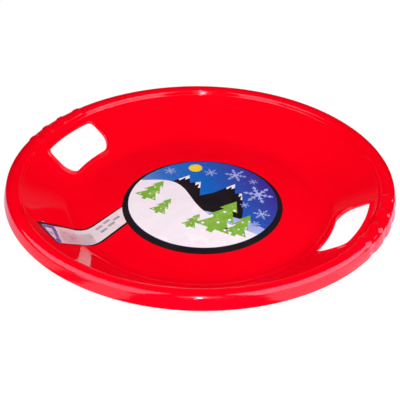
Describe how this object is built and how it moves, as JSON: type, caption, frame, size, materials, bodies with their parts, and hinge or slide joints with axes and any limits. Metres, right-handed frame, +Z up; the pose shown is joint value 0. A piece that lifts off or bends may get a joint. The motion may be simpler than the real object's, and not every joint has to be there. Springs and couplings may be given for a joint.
{
  "type": "saucer sled",
  "caption": "Round moulded plastic saucer sled with a flat floor, sloping wall, rolled rim, opposite hand holes with finger grips, and printed film labels inside.",
  "frame": {"origin": "centre of the flat base, on the ground", "axes": "+Z up, +X through the middle of one hand hole"},
  "size_m": [0.6, 0.5998, 0.0727],
  "materials": {
    "shell_plastic": "glossy red moulded plastic",
    "picture_film": "printed glossy film, black border round a blue winter picture",
    "side_film": "printed glossy film, pale with a dark edge and a blue end"
  },
  "bodies": {
    "root": {"sled_shell": "shell_plastic", "picture_label": "picture_film", "side_label": "side_film"}
  },
  "joints": []
}
